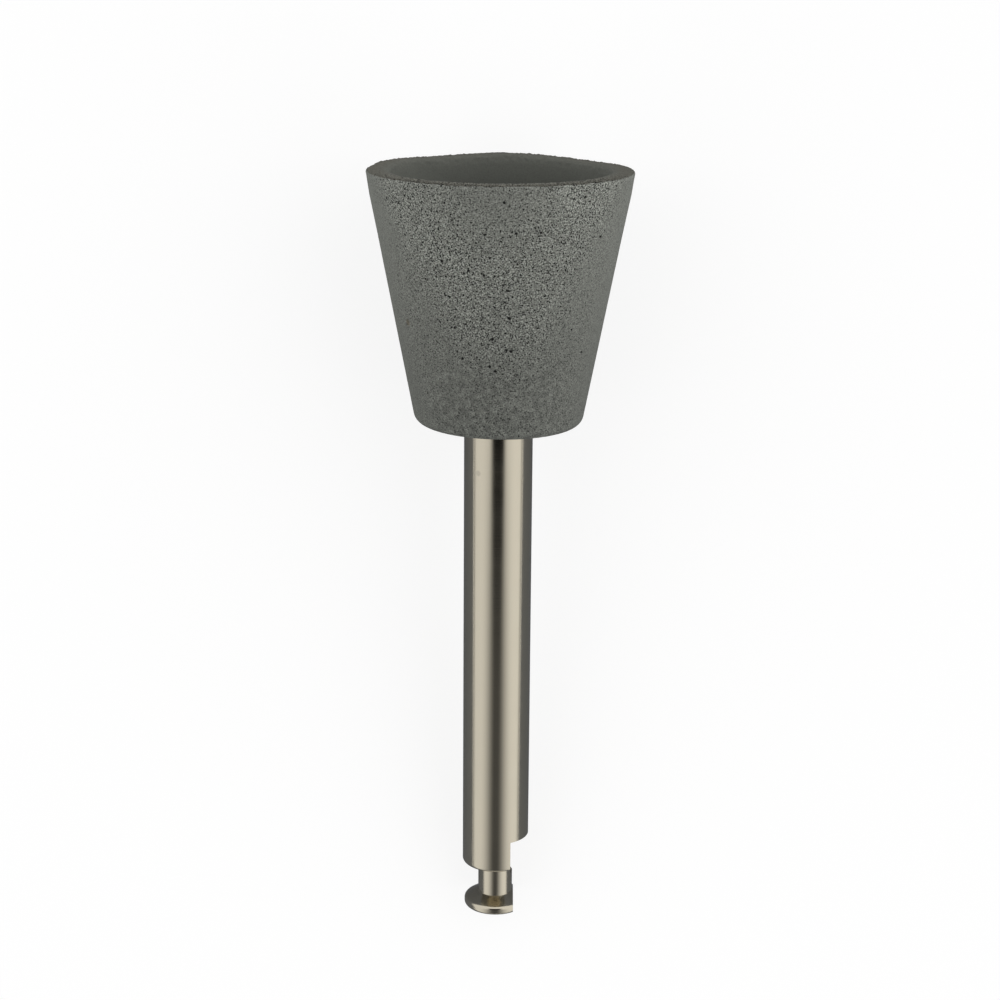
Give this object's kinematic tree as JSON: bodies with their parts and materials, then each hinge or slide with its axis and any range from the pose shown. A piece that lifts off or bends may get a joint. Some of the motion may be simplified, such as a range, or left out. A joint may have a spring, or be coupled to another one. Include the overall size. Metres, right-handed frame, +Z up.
{
  "type": "silicone polisher",
  "caption": "Cup-shaped polisher of speckled grey-green silicone rubber, moulded on a straight steel latch shank for a right-angle handpiece.",
  "frame": {"origin": "on the table under the middle of the tool's footprint", "axes": "+Y along the tool towards the mouth of the cup, with the shank leaning 7.2 degrees up to it; +Z up; +X the side that the latch flats face"},
  "size_m": [0.0089, 0.0272, 0.0088],
  "materials": {
    "silicone_rubber": "matt, with fine dark abrasive specks and open pores",
    "shank_steel": "bright ground steel with fine turning lines"
  },
  "bodies": {
    "root": {"polishing_cup": "silicone_rubber", "latch_shank": "shank_steel"}
  },
  "joints": []
}
